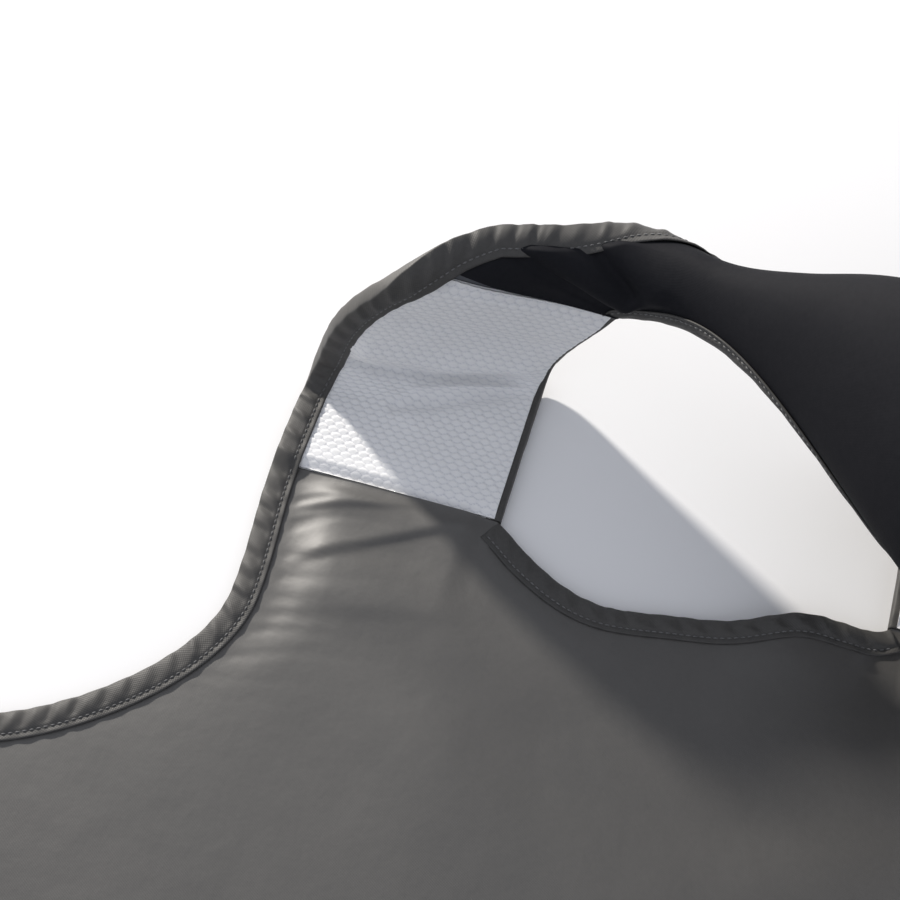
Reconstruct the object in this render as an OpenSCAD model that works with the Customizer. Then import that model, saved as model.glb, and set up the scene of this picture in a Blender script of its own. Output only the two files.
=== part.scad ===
// Pull-over radiation protection apron laid open on a flat surface, body side up.
// The front panel lies flat. The two padded shoulders rise into a soft hump that
// rolls over behind the neck opening and comes down to the surface again.
// Units are millimetres. X runs across the apron, Y from hem to neck, Z up.

/* [Front panel] */
// Half width of the front panel
half_w = 350; // [330:5:380]
// Length of the front panel below the shoulder seams
front_len = 620; // [560:10:680]
// Drop of the front neckline below the shoulder seams
neck_drop = 24; // [16:1:32]
// Depth of the armhole below the shoulder seams
arm_depth = 182; // [172:2:192]
// Radius of the hem corners
corner_r = 60; // [40:5:90]

/* [Shoulders] */
// Half width of the neck opening
neck_half = 103; // [98:1:108]
// Half width across the outer edges of the shoulders
shoulder_half = 228; // [222:1:234]
// Length of the mesh pad from front seam to back seam, along the neck
pad_len = 164; // [160:1:168]
// Depth of the round back of the neck opening
neck_back = 41; // [36:1:46]

/* [Layers] */
// Thickness of the outer cover fabric
cover_t = 0.6; // [0.5:0.1:0.7]
// Thickness of one lead-vinyl ply
ply_t = 1.2; // [1:0.1:1.3]
// Thickness of the lining fabric
lining_t = 0.6; // [0.5:0.1:0.7]
// Thickness of the foam in the shoulder pads
foam_t = 3; // [2.5:0.1:3.2]
// Thickness of the spacer mesh on the shoulder pads
mesh_t = 2; // [1.6:0.1:2.2]
// Width of the edge binding on each face
bind_w = 14; // [12:0.5:15]
// Width of the binding of the neck opening on the shoulders and the back
neck_bind_w = 7; // [6:0.5:9]
// Width of the binding of the front neckline
front_bind_w = 12; // [10:0.5:14]
// Thickness of the edge binding
bind_t = 0.8; // [0.7:0.1:0.9]

/* [Fold] */
// Angle between the hump and the width of the apron
skew = 17; // [15:1:18]
// Lean of the hump at the shoulders, in degrees from flat
lean_side = 92.5; // [91:0.5:94]
// Lean of the hump behind the neck, in degrees from flat
lean_mid = 151; // [148:1:153]
// Straight rise of the hump at the shoulders
rise_side = 67; // [64:1:70]
// Straight rise of the hump behind the neck
rise_mid = 131; // [126:1:134]
// Radius of the ridge at the shoulders
ridge_side = 19; // [18:1:21]
// Radius of the ridge behind the neck
ridge_mid = 80; // [76:1:84]
// Lean of the hump at the right edge, in degrees from flat
lean_end = 116; // [112:1:120]
// Radius of the ridge at the right edge
ridge_end = 62; // [58:1:66]

/* [Hidden] */
seam = 0.15;
gap = 0.1;
tape_gap = 0.3;
lift = bind_t + tape_gap;
rad = PI / 180;
foot_r = 20;
land_r = 40;
fall = 78;
start_left = 105;
start_drop = 88;
start_from = -81;
start_span = 234;
bulge_from = -39;
bulge_rise = 149;
roll_from = 0;
roll_rise = 120;
settle_from = 120;
settle_span = 150;
over_from = -75;
over_rise = 235;
toe = 16;
step = 0.5;
// Heights of the layers above the outer face of the cover
ply_a = cover_t + gap;
ply_b = ply_a + ply_t + gap;
line_f = ply_b + ply_t + gap;
top_f = line_f + lining_t;
foam_s = ply_a + ply_t + gap;
mesh_s = foam_s + foam_t + gap;
top_s = mesh_s + mesh_t;
line_b = ply_a + ply_t + gap;
top_b = line_b + lining_t;
// Grid counts
strap_rows = 26;
strap_cols = 5;
neck_cols = 20;
seam_cols = 6;
back_rows = 18;
lining_cols = 24;
lining_rows = 16;
nylon = [0.25, 0.24, 0.23];
dark = [0.06, 0.06, 0.08];
vinyl = [0.32, 0.33, 0.35];
white = [0.9, 0.9, 0.92];

function clip(x) = min(1, max(0, x));
function ease(x) = let(c = clip(x)) c * c * (3 - 2 * c);
function mix(a, b, k) = a + (b - a) * k;
function unit(p) = p / norm(p);
function turn(p) = [-p[1], p[0]];

// Fold profile: how the sheet leaves the surface, rolls over and lands again
function bulge(t) = ease((t - bulge_from) / bulge_rise);
function roll(t) = ease((t - roll_from) / roll_rise);
function settle(t) = ease((t - settle_from) / settle_span);
function start(t) = start_left - start_drop * ease((t - start_from) / start_span);
function lean(t) = mix(mix(lean_side, lean_mid, bulge(t)), lean_end, settle(t));
function rise(t) = mix(rise_side, rise_mid, bulge(t));
function ridge(t) = mix(mix(ridge_side, ridge_mid, roll(t)), ridge_end, settle(t));
function foot_len(t) = foot_r * lean(t) * rad;
function crest_len(t) = foot_len(t) + rise(t) + ridge(t) * lean(t) * rad;
function arc_end(t) = foot_len(t) + rise(t) + ridge(t) * (lean(t) + fall) * rad;
function arc_y(t) = foot_r * sin(lean(t)) + rise(t) * cos(lean(t));
function arc_z(t) = foot_r * (1 - cos(lean(t))) + rise(t) * sin(lean(t));
function fall_z(t) = arc_z(t) + ridge(t) * (cos(fall) - cos(lean(t)));
function fall_y(t) = arc_y(t) + ridge(t) * (sin(lean(t)) + sin(fall));
function fall_len(t) = (fall_z(t) - land_r * (1 - cos(fall))) / sin(fall);
function land_y(t) = fall_y(t) + fall_len(t) * cos(fall);
function land_len(t) = arc_end(t) + fall_len(t) + land_r * fall * rad;
function on_foot(q) = [foot_r * sin(q / foot_r / rad), foot_r * (1 - cos(q / foot_r / rad))];
function on_rise(q, t) = [foot_r * sin(lean(t)) + q * cos(lean(t)),
  foot_r * (1 - cos(lean(t))) + q * sin(lean(t))];
function on_ridge(q, t) = let(a = lean(t) - q / ridge(t) / rad)
  [arc_y(t) + ridge(t) * (sin(lean(t)) - sin(a)), arc_z(t) + ridge(t) * (cos(a) - cos(lean(t)))];
function on_fall(q, t) = [fall_y(t) + q * cos(fall), fall_z(t) - q * sin(fall)];
function on_land(q, t) = let(a = fall - q / land_r / rad)
  [land_y(t) + land_r * (sin(fall) - sin(a)), land_r * (1 - cos(a))];
function fold(q, t) = q <= 0 ? [q, 0]
  : q < foot_len(t) ? on_foot(q)
  : q < foot_len(t) + rise(t) ? on_rise(q - foot_len(t), t)
  : q < arc_end(t) ? on_ridge(q - foot_len(t) - rise(t), t)
  : q < arc_end(t) + fall_len(t) ? on_fall(q - arc_end(t), t)
  : q < land_len(t) ? on_land(q - arc_end(t) - fall_len(t), t)
  : [land_y(t) + land_r * sin(fall) + q - land_len(t), 0];

// Flat pattern to laid-out shape
function along(p) = p[0] * cos(skew) + p[1] * sin(skew);
function across(p) = p[1] * cos(skew) - p[0] * sin(skew);
function flat(t, s) = [t * cos(skew) - s * sin(skew), t * sin(skew) + s * cos(skew)];
function place(p) = let(t = along(p), f = fold(across(p) - start(t), t), y = start(t) + f[0])
  [t * cos(skew) - y * sin(skew), t * sin(skew) + y * cos(skew), f[1] + lift];
function facing(p) = unit(cross(place(p + [step, 0]) - place(p - [step, 0]),
  place(p + [0, step]) - place(p - [0, step])));

// Edges of the shoulder ring in the flat pattern
function far_s(t) = start(t) + mix(crest_len(t), land_len(t) + toe, ease((t - over_from) / over_rise));
function bez(a, b, c, k) = mix(mix(a, b, k), mix(b, c, k), k);
function bez3(a, b, c, d, k) = mix(bez(a, b, c, k), bez(b, c, d, k), k);
left_low = [-shoulder_half, 95];
left_hip = [-shoulder_half, 158];
left_top = flat(-100, far_s(-100));
right_seam = pad_len + 0.3;
right_t = along([shoulder_half, right_seam]);
corner_k = 0.7;
corner_part = 0.1;
function left_outer(k) = k < 0.6 ? mix([-shoulder_half, seam], left_low, k / 0.6)
  : bez(left_low, left_hip, left_top, (k - 0.6) / 0.4 * corner_k);
function right_outer(k) = [shoulder_half, mix(seam, pad_len, k)];
function back_outer(k) = k < corner_part
  ? bez(left_low, left_hip, left_top, corner_k + k / corner_part * (1 - corner_k))
  : let(t = mix(-100, right_t, (k - corner_part) / (1 - corner_part))) flat(t, far_s(t));
flare = 18;
flare_from = 104;
flare_span = 88;
function left_inner(k) = let(v = mix(seam, pad_len, k))
  [-neck_half + flare * ease((v - flare_from) / flare_span), v];
function mirror_u(p) = [-p[0], p[1]];
function right_inner(k) = mirror_u(left_inner(k));
neck_corner = left_inner(1);
neck_top_v = pad_len + neck_back;
function back_half(k) = bez3(neck_corner, neck_corner + [20, 7],
  [-neck_half / 2, neck_top_v], [0, neck_top_v], k);
function back_inner(k) = k < 0.5 ? back_half(2 * k) : mirror_u(back_half(2 - 2 * k));

// Path lists: edge points and the points one binding width inside them
function tangents(path) = let(n = len(path) - 1)
  [for (i = [0 : n]) unit(path[min(n, i + 1)] - path[max(0, i - 1)])];
function inset(path, side, width = bind_w) = let(d = tangents(path))
  [for (i = [0 : len(path) - 1]) path[i] + turn(d[i]) * side * width];
function toward(a, b, d) = a + unit(b - a) * d;
function swap_last(path, p) = [for (i = [0 : len(path) - 1]) i == len(path) - 1 ? p : path[i]];
function swap_first(path, p) = [for (i = [0 : len(path) - 1]) i == 0 ? p : path[i]];
left_o = [for (i = [0 : strap_rows]) left_outer(i / strap_rows)];
left_n = [for (i = [0 : strap_rows]) left_inner(i / strap_rows)];
right_o = [for (i = [0 : strap_rows]) right_outer(i / strap_rows)];
right_n = [for (i = [0 : strap_rows]) right_inner(i / strap_rows)];
back_cols = neck_cols + seam_cols;
seam_k_outer = 0.0008;
seam_k_inner = 0.004;
back_o = [for (i = [0 : back_cols]) back_outer(max(seam_k_outer, i / back_cols))];
neck_n = [for (i = [0 : neck_cols])
  back_inner(max(seam_k_inner, i / neck_cols)) + [0, i == neck_cols ? right_seam - pad_len : 0]];
back_n = concat(neck_n, [for (i = [1 : seam_cols])
  [mix(-neck_corner[0], shoulder_half, i / seam_cols), right_seam]]);
left_end = strap_rows;
left_oi = swap_last(inset(left_o, -1), toward(left_o[left_end], left_n[left_end], bind_w));
left_ni = swap_last(inset(left_n, 1, neck_bind_w), toward(left_n[left_end], left_o[left_end], neck_bind_w));
right_oi = inset(right_o, 1);
right_ni = swap_last(inset(right_n, -1, neck_bind_w),
  toward(right_n[left_end], right_o[left_end], neck_bind_w));
back_oi = swap_first(inset(back_o, -1), toward(back_o[0], back_n[0], bind_w));
back_ni = swap_first(inset(back_n, 1, neck_bind_w), toward(back_n[0], back_o[0], neck_bind_w));
function ring_grid(n, ni, oi, o, cols) = [for (i = [0 : len(n) - 1])
  concat([n[i]], [for (j = [0 : cols]) mix(ni[i], oi[i], j / cols)], [o[i]])];
left_grid = ring_grid(left_n, left_ni, left_oi, left_o, strap_cols);
right_grid = ring_grid(right_n, right_ni, right_oi, right_o, strap_cols);
back_body = ring_grid(back_n, back_ni, back_oi, back_o, back_rows);
back_side = back_body[back_cols];
back_side_in = inset(back_side, 1);
back_grid = concat([for (i = [0 : back_cols - 1]) back_body[i]], [back_side_in], [back_side]);
hem_o = concat([for (i = [0 : back_cols - 1]) back_o[i]], [back_side_in[back_rows + 2]]);
hem_oi = concat([for (i = [0 : back_cols - 1]) back_oi[i]], [back_side_in[back_rows + 1]]);
neck_ni = [for (i = [0 : neck_cols]) back_ni[i]];

// Front panel outline
arm_turn = 78;
arm_in = 6;
arm_steps = 14;
side_steps = 5;
neck_steps = 20;
neck_top = 1.6;
corner_steps = 8;
side_r = 28;
arm_neck = [-shoulder_half + arm_in, -arm_turn];
function strap_point(k) = bez3([-shoulder_half, -seam], [-shoulder_half, -arm_turn / 3],
  arm_neck + [0, arm_turn / 3], arm_neck, k);
function arm_point(k) = bez3(arm_neck, arm_neck - [0, 42],
  [-half_w + 68, -arm_depth + 14], [-half_w + side_r, -arm_depth + 4], k);
function side_point(k) = bez([-half_w + side_r, -arm_depth + 4], [-half_w, -arm_depth],
  [-half_w, -arm_depth - side_r], k);
function neck_point(k) = let(u = -neck_half * cos(180 * k))
  [u, -neck_top - (neck_drop - neck_top) * (1 - pow(abs(u) / neck_half, 3))];
function corner_point(a) = [-half_w + corner_r - corner_r * cos(a),
  -front_len + corner_r - corner_r * sin(a)];
function flip_u(path) = [for (p = path) [-p[0], p[1]]];
function reverse(path) = [for (i = [len(path) - 1 : -1 : 0]) path[i]];
arm_curve = concat([for (i = [0 : side_steps - 1]) strap_point(i / side_steps)],
  [for (i = [0 : arm_steps]) arm_point(i / arm_steps)],
  [for (i = [1 : side_steps]) side_point(i / side_steps)]);
arm_path = concat(arm_curve, [for (i = [0 : corner_steps]) corner_point(90 * i / corner_steps)],
  [[-half_w + corner_r + 1, -front_len]]);
arm_inner = swap_first(inset(arm_path, 1), arm_path[0] + [bind_w, 0]);
neck_path = [for (i = [0 : neck_steps]) neck_point(i / neck_steps)];
hem_half_w = half_w - corner_r - 1 - 2 * seam;
hem_path = [[-hem_half_w, -front_len], [hem_half_w, -front_len]];
outline = concat(arm_path, reverse(flip_u(arm_path)), [[neck_half, -seam]],
  reverse(neck_path), [[-neck_half, -seam]]);

// Half width of the front panel at height v, and the top edge at u
function arm_half(v) = lookup(v, [for (p = reverse(arm_curve)) [p[1], -p[0]]]);
function hem_half(v) = v > -front_len + corner_r ? half_w
  : half_w - corner_r + sqrt(max(0, pow(corner_r, 2) - pow(v + front_len - corner_r, 2)));
function edge_half(v) = v > -arm_depth - side_r ? arm_half(v) : hem_half(v);
function top_v(u) = abs(u) >= neck_half ? -seam
  : -neck_top - (neck_drop - neck_top) * (1 - pow(abs(u) / neck_half, 3));

// Soft waves of the lining below the shoulder seams
lining_in = 9;
neck_in = 1.4;
wave_h = 5;
wave_w = 26;
wave_clear = 18;
function wave(p) = let(u = abs(p[0]), q = p[1] + 78 - 0.26 * (u - 90), r = p[1] + 150 - 0.5 * (u - 60))
  wave_h * (exp(-pow(q / wave_w, 2)) * exp(-pow((u - 150) / 75, 2))
  + 0.7 * exp(-pow(r / 34, 2)) * exp(-pow((u - 110) / 80, 2)))
  * ease((edge_half(p[1]) - u - wave_clear) / 30) * ease((top_v(u) - p[1] - wave_clear) / 30);
function lining_v(j, c) = j == lining_rows
  ? top_v(c * shoulder_half) - (abs(c) * shoulder_half < neck_half ? neck_in : 0)
  : -front_len + (front_len - neck_drop - 12) * pow(j / (lining_rows - 1), 0.9);
lining_grid = [for (i = [0 : lining_cols]) let(c = 2 * i / lining_cols - 1)
  [for (j = [0 : lining_rows]) let(v = lining_v(j, c))
    [c * ((j == lining_rows ? shoulder_half : edge_half(v)) - lining_in), v]]];

// A sheet between two heights over a grid of flat pattern points
module sheet(grid, low, high, waves = 0) {
  n = len(grid) - 1;
  m = len(grid[0]) - 1;
  row = m + 1;
  half = (n + 1) * row;
  flat_pts = [for (g = grid) for (p = g) p];
  base = [for (p = flat_pts) place(p)];
  dirs = [for (p = flat_pts) facing(p)];
  lifts = [for (p = flat_pts) waves > 0 ? wave(p) : 0];
  pts = concat([for (i = [0 : half - 1]) base[i] + dirs[i] * (low + lifts[i])],
    [for (i = [0 : half - 1]) base[i] + dirs[i] * (high + lifts[i])]);
  under = [for (i = [0 : n - 1]) for (j = [0 : m - 1]) let(a = i * row + j)
    each [[a, a + row, a + 1], [a + row, a + row + 1, a + 1]]];
  over = [for (f = under) [f[0] + half, f[2] + half, f[1] + half]];
  loop = concat([for (i = [0 : n]) i * row], [for (j = [1 : m]) n * row + j],
    [for (i = [n - 1 : -1 : 0]) i * row + m], [for (j = [m - 1 : -1 : 1]) j]);
  wall = [for (i = [0 : len(loop) - 1]) let(a = loop[i], b = loop[(i + 1) % len(loop)])
    each [[b, a, a + half], [b, a + half, b + half]]];
  polyhedron(points = pts, faces = concat(under, over, wall));
}

// A folded tape around an edge: path is the edge, inner the line inside it.
// The flip turns the diagonals so that they lie over those of the sheet below.
module tape(path, inner, low, high, flip = false) {
  n = len(path) - 1;
  pts = [for (i = [0 : n]) let(p = place(path[i]), c = place(inner[i]), d = unit(p - c),
    a = facing(path[i]), b = facing(inner[i]), e = p + d * tape_gap, o = p + d * lift)
    each [c + b * (low - lift), o + a * (low - lift), o + a * (high + lift), c + b * (high + lift),
      c + b * (high + tape_gap), e + a * (high + tape_gap),
      e + a * (low - tape_gap), c + b * (low - tape_gap)]];
  same = (path[1] - path[0]) * turn(inner[0] - path[0]) > 0;
  side = [for (i = [0 : n - 1]) for (j = [0 : 7]) let(a = i * 8 + j, b = i * 8 + (j + 1) % 8)
    each (j % 4 == 0) != flip ? [[a, a + 8, b], [a + 8, b + 8, b]] : [[a, a + 8, b + 8], [a, b + 8, b]]];
  e = n * 8;
  ends = [[0, 1, 6], [0, 6, 7], [1, 2, 5], [1, 5, 6], [2, 3, 4], [2, 4, 5],
    [e, e + 6, e + 1], [e, e + 7, e + 6], [e + 1, e + 5, e + 2],
    [e + 1, e + 6, e + 5], [e + 2, e + 4, e + 3], [e + 2, e + 5, e + 4]];
  faces = concat(side, ends);
  polyhedron(points = pts, faces = same ? faces : [for (f = faces) [f[0], f[2], f[1]]]);
}

module front_plate(low, thick) {
  translate([0, 0, lift + low])
    linear_extrude(height = thick)
      polygon(outline);
}

module front_cover() {
  color(nylon) front_plate(0, cover_t);
}

module front_outer_ply() {
  color(vinyl) front_plate(ply_a, ply_t);
}

module front_inner_ply() {
  color(vinyl) front_plate(ply_b, ply_t);
}

module front_lining() {
  color(nylon) sheet(lining_grid, line_f, top_f, 1);
}

module front_neck_binding() {
  color(nylon) tape(neck_path, inset(neck_path, -1, front_bind_w), 0, top_f);
}

module left_armhole_binding() {
  color(nylon) tape(arm_path, arm_inner, 0, top_f);
}

module right_armhole_binding() {
  color(nylon) tape(flip_u(arm_path), flip_u(arm_inner), 0, top_f);
}

module hem_binding() {
  color(nylon) tape(hem_path, inset(hem_path, 1), 0, top_f);
}

module left_shoulder_cover() {
  color(nylon) sheet(left_grid, 0, cover_t);
}

module left_shoulder_ply() {
  color(vinyl) sheet(left_grid, ply_a, ply_a + ply_t);
}

module left_shoulder_foam() {
  color(white) sheet(left_grid, foam_s, foam_s + foam_t);
}

module left_shoulder_mesh() {
  color(white) sheet(left_grid, mesh_s, top_s);
}

module left_shoulder_arm_binding() {
  color(nylon) tape(left_o, left_oi, 0, top_s);
}

module left_shoulder_neck_binding() {
  color(nylon) tape(left_n, left_ni, 0, top_s, true);
}

module right_shoulder_cover() {
  color(nylon) sheet(reverse(right_grid), 0, cover_t);
}

module right_shoulder_ply() {
  color(vinyl) sheet(reverse(right_grid), ply_a, ply_a + ply_t);
}

module right_shoulder_foam() {
  color(white) sheet(reverse(right_grid), foam_s, foam_s + foam_t);
}

module right_shoulder_mesh() {
  color(white) sheet(reverse(right_grid), mesh_s, top_s);
}

module right_shoulder_arm_binding() {
  color(nylon) tape(right_o, right_oi, 0, top_s, true);
}

module right_shoulder_neck_binding() {
  color(nylon) tape(right_n, right_ni, 0, top_s);
}

module back_cover() {
  color(dark) sheet(back_grid, 0, cover_t);
}

module back_ply() {
  color(vinyl) sheet(back_grid, ply_a, ply_a + ply_t);
}

module back_lining() {
  color(dark) sheet(back_grid, line_b, top_b);
}

module back_neck_binding() {
  color(dark) tape(neck_n, neck_ni, 0, top_b, true);
}

module back_edge_binding() {
  color(dark) tape(hem_o, hem_oi, 0, top_b);
}

module back_side_binding() {
  color(dark) tape(back_side, back_side_in, 0, top_b);
}

front_cover();
front_outer_ply();
front_inner_ply();
front_lining();
front_neck_binding();
left_armhole_binding();
right_armhole_binding();
hem_binding();
left_shoulder_cover();
left_shoulder_ply();
left_shoulder_foam();
left_shoulder_mesh();
left_shoulder_arm_binding();
left_shoulder_neck_binding();
right_shoulder_cover();
right_shoulder_ply();
right_shoulder_foam();
right_shoulder_mesh();
right_shoulder_arm_binding();
right_shoulder_neck_binding();
back_cover();
back_ply();
back_lining();
back_neck_binding();
back_edge_binding();
back_side_binding();
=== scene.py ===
import math
from types import SimpleNamespace

import bmesh
import bpy
import numpy as np
from mathutils import Matrix, Vector

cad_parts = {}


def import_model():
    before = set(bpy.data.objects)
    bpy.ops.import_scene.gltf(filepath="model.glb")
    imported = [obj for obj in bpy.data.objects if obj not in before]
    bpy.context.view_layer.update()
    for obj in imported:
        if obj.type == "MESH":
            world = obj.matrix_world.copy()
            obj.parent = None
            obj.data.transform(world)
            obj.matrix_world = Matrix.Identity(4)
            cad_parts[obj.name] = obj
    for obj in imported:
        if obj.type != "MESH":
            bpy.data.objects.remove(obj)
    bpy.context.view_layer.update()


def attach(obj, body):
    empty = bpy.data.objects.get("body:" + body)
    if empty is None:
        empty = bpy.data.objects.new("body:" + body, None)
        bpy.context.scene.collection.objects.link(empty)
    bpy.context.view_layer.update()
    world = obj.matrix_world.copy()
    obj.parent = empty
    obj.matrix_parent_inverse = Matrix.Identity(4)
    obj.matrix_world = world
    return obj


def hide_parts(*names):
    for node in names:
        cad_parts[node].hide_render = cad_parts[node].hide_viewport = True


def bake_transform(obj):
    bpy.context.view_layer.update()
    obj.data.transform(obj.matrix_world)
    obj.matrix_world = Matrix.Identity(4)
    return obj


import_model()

MM = 0.001
FRONT = "front_panel"
BACK = "back_assembly"

# Sizes of the pattern in millimetres, as in the part's source
HALF_W = 350.0
FRONT_LEN = 620.0
ARM_DEPTH = 182.0
CORNER = 60.0
SIDE_R = 28.0
STRAP_IN = 6.0
NECK = 103.0
NECK_TOP = 1.6
NECK_DROP = 24.0
NECK_BACK = 41.0
SHOULDER = 228.0
PAD = 164.0
SEAM = 0.15
RIGHT_SEAM = PAD + 2 * SEAM

# Layers and bindings
LAYER_GAP = 0.1
COVER_T = 0.6
PLY_T = 1.2
LINING_T = 0.6
FOAM_T = 3.0
MESH_T = 2.0
BIND_T = 0.8
BIND_W = 14.0
NECK_BIND = 7.0
FRONT_BIND = 12.0
TAPE_GAP = 0.3
LIFT = BIND_T + TAPE_GAP


def layer_over(below, thickness):
    """Lower and upper height of a layer that lies on another one."""
    low = below[1] + LAYER_GAP
    return low, low + thickness


COVER = (0.0, COVER_T)
OUTER_PLY = layer_over(COVER, PLY_T)
INNER_PLY = layer_over(OUTER_PLY, PLY_T)
FRONT_LINING = layer_over(INNER_PLY, LINING_T)
BACK_LINING = layer_over(OUTER_PLY, LINING_T)
FOAM_PAD = layer_over(OUTER_PLY, FOAM_T)
MESH_PAD = layer_over(FOAM_PAD, MESH_T)

# The fold: a turn at the foot, a leaning rise, a round ridge, a fall and a landing
SKEW = math.radians(17)
FOOT = 20.0
LAND = 40.0
FALL = math.radians(78)
LEAN_SIDE = 92.5
LEAN_MID = 151.0
LEAN_END = 116.0
RISE_SIDE = 67.0
RISE_MID = 131.0
RIDGE_SIDE = 19.0
RIDGE_MID = 80.0
RIDGE_END = 62.0
START_LEFT = 105.0
START_DROP = 88.0
TAIL = 16.0


def ease(x):
    c = np.clip(x, 0, 1)
    return c * c * (3 - 2 * c)


def mix(a, b, k):
    return a + (b - a) * k


def unit(v):
    return v / np.maximum(np.linalg.norm(v, axis=-1, keepdims=True), 1e-9)


def bell(x, width):
    return np.exp(-(x / width) ** 2)


# From the flat pattern to the laid-out shape, in millimetres
def fold(t):
    """Angles and lengths of the fold at a distance t along it, which runs at SKEW to the apron's width."""
    bulge = ease((t + 39) / 149)
    roll = ease(t / 120)
    settle = ease((t - 120) / 150)
    f = SimpleNamespace()
    f.lean = np.radians(mix(mix(LEAN_SIDE, LEAN_MID, bulge), LEAN_END, settle))
    f.rise = mix(RISE_SIDE, RISE_MID, bulge)
    f.ridge = mix(mix(RIDGE_SIDE, RIDGE_MID, roll), RIDGE_END, settle)
    f.start = START_LEFT - START_DROP * ease((t + 81) / 234)
    f.foot = FOOT * f.lean
    f.arc_y = FOOT * np.sin(f.lean) + f.rise * np.cos(f.lean)
    f.arc_z = FOOT * (1 - np.cos(f.lean)) + f.rise * np.sin(f.lean)
    f.arc_end = f.foot + f.rise + f.ridge * (f.lean + FALL)
    f.fall_y = f.arc_y + f.ridge * (np.sin(f.lean) + np.sin(FALL))
    f.fall_z = f.arc_z + f.ridge * (np.cos(FALL) - np.cos(f.lean))
    f.fall = (f.fall_z - LAND * (1 - np.cos(FALL))) / np.sin(FALL)
    f.land_y = f.fall_y + f.fall * np.cos(FALL)
    f.land_end = f.arc_end + f.fall + LAND * FALL
    return f


def flat(t, s):
    """Flat pattern point at t along the fold and s across it."""
    return np.stack([t * np.cos(SKEW) - s * np.sin(SKEW), t * np.sin(SKEW) + s * np.cos(SKEW)], -1)


def place(p):
    """Where a flat pattern point lies in space."""
    p = np.asarray(p, float)
    t = p[..., 0] * np.cos(SKEW) + p[..., 1] * np.sin(SKEW)
    s = p[..., 1] * np.cos(SKEW) - p[..., 0] * np.sin(SKEW)
    f = fold(t)
    q = s - f.start
    foot_a = np.clip(q, 0, None) / FOOT
    ridge_a = f.lean - (q - f.foot - f.rise) / f.ridge
    land_a = FALL - (q - f.arc_end - f.fall) / LAND
    cases = [q <= 0, q < f.foot, q < f.foot + f.rise, q < f.arc_end, q < f.arc_end + f.fall, q < f.land_end]
    y = np.select(cases, [
        q,
        FOOT * np.sin(foot_a),
        FOOT * np.sin(f.lean) + (q - f.foot) * np.cos(f.lean),
        f.arc_y + f.ridge * (np.sin(f.lean) - np.sin(ridge_a)),
        f.fall_y + (q - f.arc_end) * np.cos(FALL),
        f.land_y + LAND * (np.sin(FALL) - np.sin(land_a)),
    ], f.land_y + LAND * np.sin(FALL) + q - f.land_end)
    z = np.select(cases, [
        0 * q,
        FOOT * (1 - np.cos(foot_a)),
        FOOT * (1 - np.cos(f.lean)) + (q - f.foot) * np.sin(f.lean),
        f.arc_z + f.ridge * (np.cos(ridge_a) - np.cos(f.lean)),
        f.fall_z - (q - f.arc_end) * np.sin(FALL),
        LAND * (1 - np.cos(land_a)),
    ], 0 * q)
    return np.concatenate([flat(t, f.start + y), (z + LIFT)[..., None]], -1)


def facing(p):
    """The way the body side faces at a flat pattern point."""
    p = np.asarray(p, float)
    du = np.array([0.5, 0.0])
    dv = np.array([0.0, 0.5])
    return unit(np.cross(place(p + du) - place(p - du), place(p + dv) - place(p - dv)))


def far_s(t):
    """How far the back runs across the fold: to the ridge at the left, to the table at the right."""
    f = fold(t)
    return f.start + mix(f.foot + f.rise + f.ridge * f.lean, f.land_end + TAIL, ease((t + 75) / 235))


def bez(a, b, c, k):
    k = np.asarray(k, float)[..., None]
    a, b, c = (np.asarray(x, float) for x in (a, b, c))
    return mix(mix(a, b, k), mix(b, c, k), k)


def bez3(a, b, c, d, k):
    return mix(bez(a, b, c, k), bez(b, c, d, k), np.asarray(k, float)[..., None])


# Edges in the flat pattern
TURN_T = -100.0
LEFT_LOW = (-SHOULDER, 95.0)
LEFT_HIP = (-SHOULDER, 158.0)
LEFT_TOP = flat(np.float64(TURN_T), far_s(np.float64(TURN_T)))
RIGHT_T = SHOULDER * math.cos(SKEW) + RIGHT_SEAM * math.sin(SKEW)
STRAIGHT_SHARE = 0.6
CORNER_SHARE = 0.7
BACK_CORNER = 0.1
NECK_STEPS = 20
SEAM_STEPS = 6
FLARE = 18.0
FLARE_FROM = 104.0
FLARE_SPAN = 88.0
MIRROR = np.array([-1, 1])


def left_outer(k):
    k = np.asarray(k, float)
    low = np.stack([0 * k - SHOULDER, mix(SEAM, LEFT_LOW[1], k / STRAIGHT_SHARE)], -1)
    turn = np.clip((k - STRAIGHT_SHARE) / (1 - STRAIGHT_SHARE), 0, 1) * CORNER_SHARE
    return np.where((k < STRAIGHT_SHARE)[..., None], low, bez(LEFT_LOW, LEFT_HIP, LEFT_TOP, turn))


def back_outer(k):
    """The rest of the turn at the left, then the far edge."""
    k = np.asarray(k, float)
    t = mix(TURN_T, RIGHT_T, np.clip((k - BACK_CORNER) / (1 - BACK_CORNER), 0, 1))
    turn = np.clip(CORNER_SHARE + k * (1 - CORNER_SHARE) / BACK_CORNER, CORNER_SHARE, 1)
    return np.where((k < BACK_CORNER)[..., None], bez(LEFT_LOW, LEFT_HIP, LEFT_TOP, turn), flat(t, far_s(t)))


def left_inner(k):
    v = mix(SEAM, PAD, np.asarray(k, float))
    return np.stack([-NECK + FLARE * ease((v - FLARE_FROM) / FLARE_SPAN), v], -1)


def right_inner(k):
    return left_inner(k) * MIRROR


def right_outer(k):
    k = np.asarray(k, float)
    return np.stack([0 * k + SHOULDER, mix(SEAM, PAD, k)], -1)


NECK_CORNER = left_inner(np.float64(1.0))


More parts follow.
